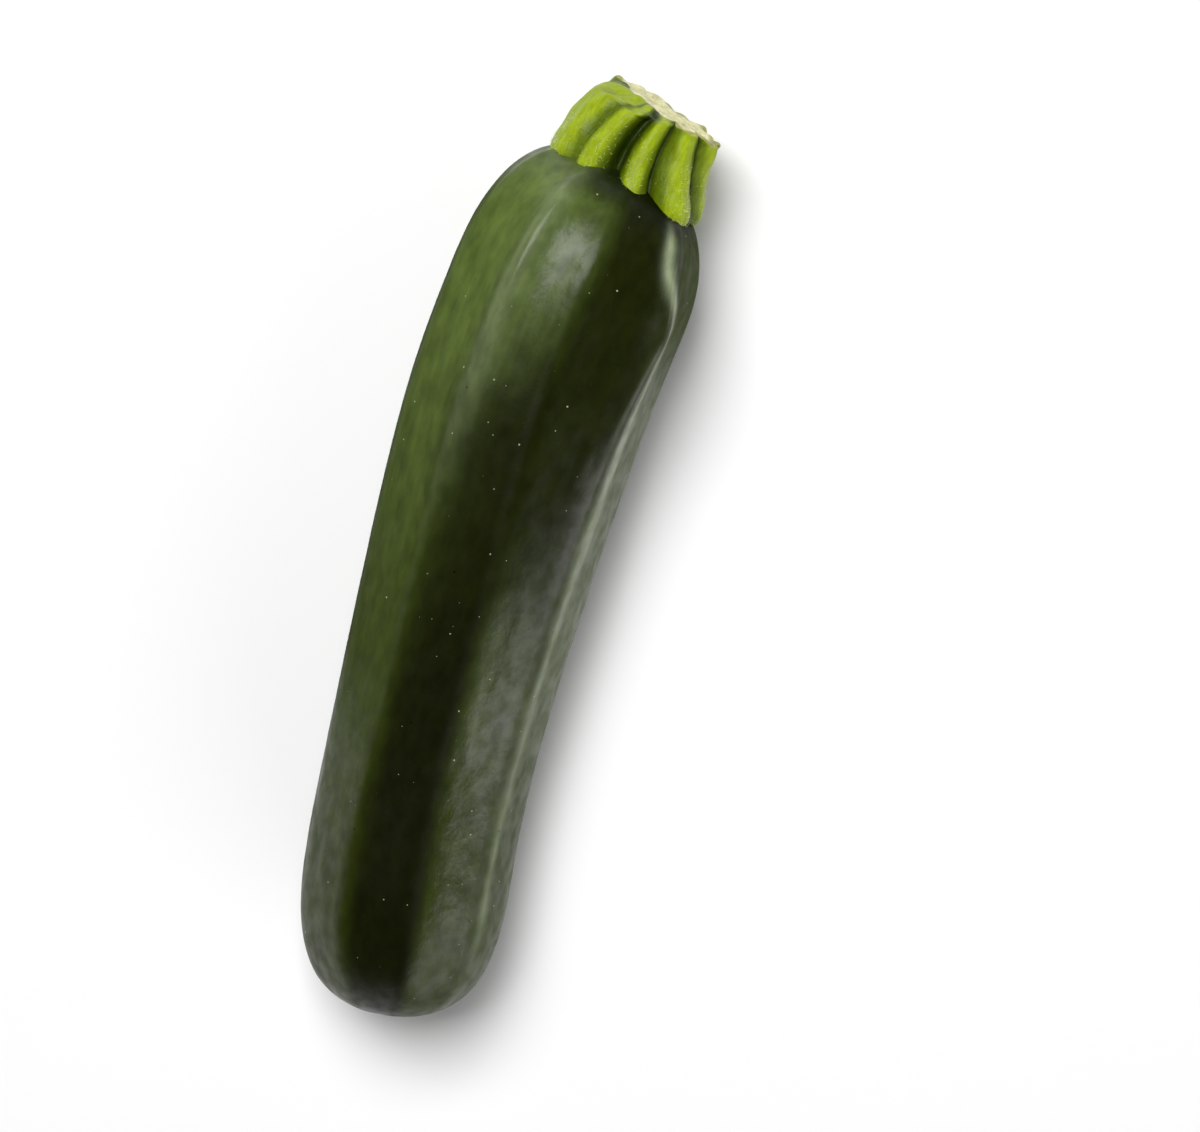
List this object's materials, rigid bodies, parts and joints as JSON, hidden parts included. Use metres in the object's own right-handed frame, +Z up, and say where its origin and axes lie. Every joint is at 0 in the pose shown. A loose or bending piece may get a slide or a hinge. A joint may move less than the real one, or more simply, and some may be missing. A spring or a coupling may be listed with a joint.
{
  "type": "zucchini",
  "caption": "Long dark green zucchini, slightly bent, with soft lengthwise ridges, a cut stub of its ribbed stem and a corky blossom scar, lying on its side.",
  "frame": {"origin": "on the ground under the middle of the box round the whole zucchini as it lies", "axes": "+X from the blossom end to the stem, +Y to the outside of the bend, +Z up from the surface that it lies on"},
  "size_m": [0.2044, 0.0526, 0.0501],
  "materials": {
    "skin": "waxy vegetable skin, satin gloss, very dark green with a lighter olive flank and tiny pale specks",
    "stem_rind": "fresh yellow-green ribbed stem rind with fine hairs, cut face pale cream",
    "cork": "dry tan corky scar tissue"
  },
  "bodies": {
    "root": {"fruit": "skin", "stem": "stem_rind", "blossom_scar": "cork"}
  },
  "joints": []
}
